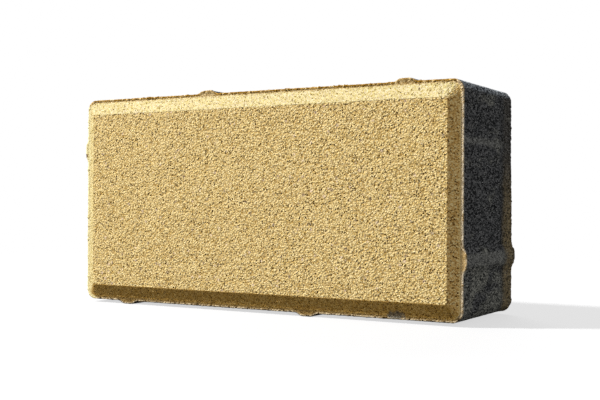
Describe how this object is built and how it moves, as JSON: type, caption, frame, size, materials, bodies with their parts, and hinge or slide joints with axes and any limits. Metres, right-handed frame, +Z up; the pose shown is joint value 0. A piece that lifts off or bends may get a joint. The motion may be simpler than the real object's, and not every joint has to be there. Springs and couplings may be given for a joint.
{
  "type": "concrete paver",
  "caption": "Rectangular pressed concrete paver with a sandy coloured wearing face, bevelled edges and spacer nibs on its sides, over a plain grey body.",
  "frame": {"origin": "on the floor, under the middle of the paver as it stands on a long side", "axes": "+X along the length, +Y through the thickness from the wearing face to the bed face, +Z up"},
  "size_m": [0.2008, 0.06, 0.1008],
  "materials": {
    "concrete": "rough sandy yellow face on dark grey concrete"
  },
  "bodies": {
    "root": {"paver": "concrete"}
  },
  "joints": []
}
